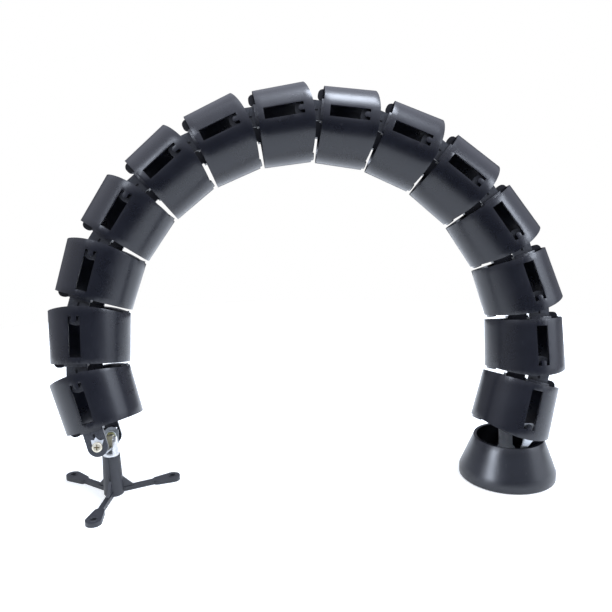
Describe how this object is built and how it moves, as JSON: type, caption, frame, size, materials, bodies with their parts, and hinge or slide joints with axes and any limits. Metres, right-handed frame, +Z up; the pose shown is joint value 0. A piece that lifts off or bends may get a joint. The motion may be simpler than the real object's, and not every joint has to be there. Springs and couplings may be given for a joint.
{
  "type": "cable spine",
  "caption": "Jointed cable spine: tapered ring vertebrae hinged into a standing arch between a three-legged swivel mount and a weighted conical foot, for leading desk cables.",
  "frame": {"origin": "centre of the mount's three-hole circle, on its foot plane, which is also the floor the foot stands on", "axes": "+Z up; +X from the mount to the weighted foot, along the arch; +Y away from the viewer of the picture, the way the arch leans"},
  "size_m": [0.459, 0.1562, 0.3568],
  "materials": {
    "black_moulding": "satin moulded black plastic",
    "zinc": "bright zinc-plated",
    "steel": "plain steel",
    "yellow_zinc": "pale yellow zinc-plated",
    "iron": "cast, unpainted",
    "rubber": "matt"
  },
  "bodies": {
    "tripod": {"tripod_mount": "black_moulding"},
    "swivel": {"swivel_fork": "zinc", "tilt_pin": "steel"},
    "yoke": {"yoke": "zinc", "pivot_block": "yellow_zinc", "neck_screw_near": "yellow_zinc", "neck_screw_far": "yellow_zinc", "neck_washer_near": "zinc", "neck_washer_far": "zinc", "neck_nut_near": "yellow_zinc", "neck_nut_far": "yellow_zinc"},
    "link_01": {"vertebra_01": "black_moulding"},
    "link_02": {"vertebra_02": "black_moulding"},
    "link_03": {"vertebra_03": "black_moulding"},
    "link_04": {"vertebra_04": "black_moulding"},
    "link_05": {"vertebra_05": "black_moulding"},
    "link_06": {"vertebra_06": "black_moulding"},
    "link_07": {"vertebra_07": "black_moulding"},
    "link_08": {"vertebra_08": "black_moulding"},
    "link_09": {"vertebra_09": "black_moulding"},
    "link_10": {"vertebra_10": "black_moulding"},
    "link_11": {"vertebra_11": "black_moulding"},
    "link_12": {"vertebra_12": "black_moulding"},
    "link_13": {"vertebra_13": "black_moulding"},
    "link_14": {"vertebra_14": "black_moulding"},
    "foot": {"foot_cone": "black_moulding", "foot_weight": "iron", "foot_pad": "rubber", "foot_bracket": "zinc", "strap_screw_front": "yellow_zinc", "strap_screw_back": "yellow_zinc"}
  },
  "joints": [
    {"name": "swivel_turn", "type": "hinge", "parent": "tripod", "child": "swivel", "pos_m": [0, 0, 0.03], "axis": [0, 0, 1], "continuous": true},
    {"name": "yoke_tilt", "type": "hinge", "parent": "swivel", "child": "yoke", "pos_m": [0, 0, 0.04949], "axis": [1, 0, 0], "range_deg": [-6, 31]},
    {"name": "neck_hinge", "type": "hinge", "parent": "yoke", "child": "link_01", "pos_m": [-0.0041, 0.00011, 0.04999], "axis": [0, -0.9763, 0.2164], "range_deg": [-50, 35]},
    {"name": "bend_01", "type": "hinge", "parent": "link_01", "child": "link_02", "pos_m": [-0.01981, 0.01192, 0.10328], "axis": [0, -0.9763, 0.2164], "range_deg": [0, 28]},
    {"name": "bend_02", "type": "hinge", "parent": "link_02", "child": "link_03", "pos_m": [-0.0196, 0.02422, 0.15873], "axis": [0, -0.9763, 0.2164], "range_deg": [0, 28]},
    {"name": "bend_03", "type": "hinge", "parent": "link_03", "child": "link_04", "pos_m": [-0.00349, 0.03601, 0.21191], "axis": [0, -0.9763, 0.2164], "range_deg": [0, 28]},
    {"name": "bend_04", "type": "hinge", "parent": "link_04", "child": "link_05", "pos_m": [0.02722, 0.04635, 0.25856], "axis": [0, -0.9763, 0.2164], "range_deg": [0, 28]},
    {"name": "bend_05", "type": "hinge", "parent": "link_05", "child": "link_06", "pos_m": [0.07008, 0.05442, 0.29495], "axis": [0, -0.9763, 0.2164], "range_deg": [0, 28]},
    {"name": "bend_06", "type": "hinge", "parent": "link_06", "child": "link_07", "pos_m": [0.12166, 0.05956, 0.31817], "axis": [0, -0.9763, 0.2164], "range_deg": [0, 28]},
    {"name": "bend_07", "type": "hinge", "parent": "link_07", "child": "link_08", "pos_m": [0.17784, 0.06138, 0.32635], "axis": [0, -0.9763, 0.2164], "range_deg": [0, 28]},
    {"name": "bend_08", "type": "hinge", "parent": "link_08", "child": "link_09", "pos_m": [0.23412, 0.05972, 0.31886], "axis": [0, -0.9763, 0.2164], "range_deg": [0, 28]},
    {"name": "bend_09", "type": "hinge", "parent": "link_09", "child": "link_10", "pos_m": [0.28599, 0.05471, 0.29628], "axis": [0, -0.9763, 0.2164], "range_deg": [0, 28]},
    {"name": "bend_10", "type": "hinge", "parent": "link_10", "child": "link_11", "pos_m": [0.32932, 0.04676, 0.26042], "axis": [0, -0.9763, 0.2164], "range_deg": [0, 28]},
    {"name": "bend_11", "type": "hinge", "parent": "link_11", "child": "link_12", "pos_m": [0.36063, 0.0365, 0.21415], "axis": [0, -0.9763, 0.2164], "range_deg": [0, 28]},
    {"name": "bend_12", "type": "hinge", "parent": "link_12", "child": "link_13", "pos_m": [0.37742, 0.02476, 0.16117], "axis": [0, -0.9763, 0.2164], "range_deg": [0, 28]},
    {"name": "bend_13", "type": "hinge", "parent": "link_13", "child": "link_14", "pos_m": [0.37834, 0.01247, 0.10572], "axis": [0, -0.9763, 0.2164], "range_deg": [0, 28]},
    {"name": "foot_hinge", "type": "hinge", "parent": "link_14", "child": "foot", "pos_m": [0.36332, 0.00061, 0.05224], "axis": [0, -0.9763, 0.2164], "range_deg": [-18, 0]}
  ]
}
